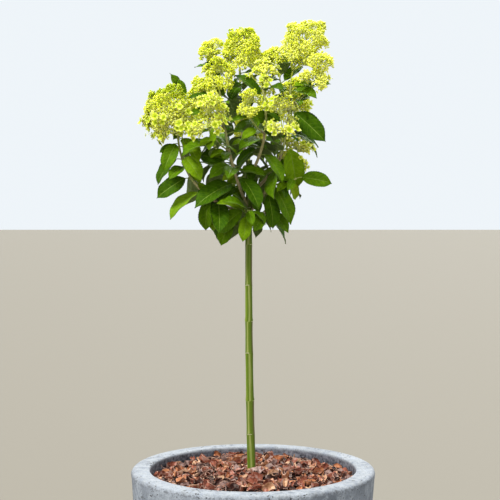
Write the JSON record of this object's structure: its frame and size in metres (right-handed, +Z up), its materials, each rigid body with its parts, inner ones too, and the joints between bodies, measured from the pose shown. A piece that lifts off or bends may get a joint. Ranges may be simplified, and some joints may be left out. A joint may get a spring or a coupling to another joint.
{
  "type": "potted panicle hydrangea",
  "caption": "Young panicle hydrangea grown as a standard: one clear green stem in a wide round cement pot, with an open head of shoots, hanging leaves and lime green panicles.",
  "frame": {"origin": "middle of the pot's flat underside, on the ground it stands on", "axes": "+Z up along the stem; +X to the plant's right as seen from its front; +Y from the front of the plant to its back"},
  "size_m": [0.52, 0.52, 1.3544],
  "materials": {
    "pot_cement": "matte",
    "potting_soil": "matte",
    "bark_mulch": "matte",
    "green_stem": "satin",
    "young_wood": "matte",
    "foliage": "satin",
    "blossom": "matte"
  },
  "bodies": {
    "root": {"bark_mulch": "bark_mulch", "bough_back": "young_wood", "bough_back_left": "young_wood", "bough_back_right": "young_wood", "bough_centre": "young_wood", "bough_centre_right": "young_wood", "bough_front_left": "young_wood", "bough_left": "young_wood", "bough_right": "young_wood", "panicle_back": "blossom", "panicle_back_left": "blossom", "panicle_back_right": "blossom", "panicle_centre": "blossom", "panicle_centre_right": "blossom", "panicle_front": "blossom", "panicle_front_left": "blossom", "panicle_left": "blossom", "panicle_low_centre": "blossom", "panicle_low_right": "blossom", "panicle_right": "blossom", "panicle_right_low": "blossom", "panicle_right_side": "blossom", "panicle_small_left": "blossom", "panicle_small_top": "blossom", "panicle_top_far_left": "blossom", "pot": "pot_cement", "potting_soil": "potting_soil", "shoot_back": "foliage", "shoot_back_left": "foliage", "shoot_back_right": "foliage", "shoot_centre": "foliage", "shoot_centre_right": "foliage", "shoot_front_left": "foliage", "shoot_left": "foliage", "shoot_right": "foliage", "skirt_1": "foliage", "skirt_2": "foliage", "skirt_3": "foliage", "skirt_4": "foliage", "skirt_5": "foliage", "skirt_6": "foliage", "trunk": "green_stem"}
  },
  "joints": []
}
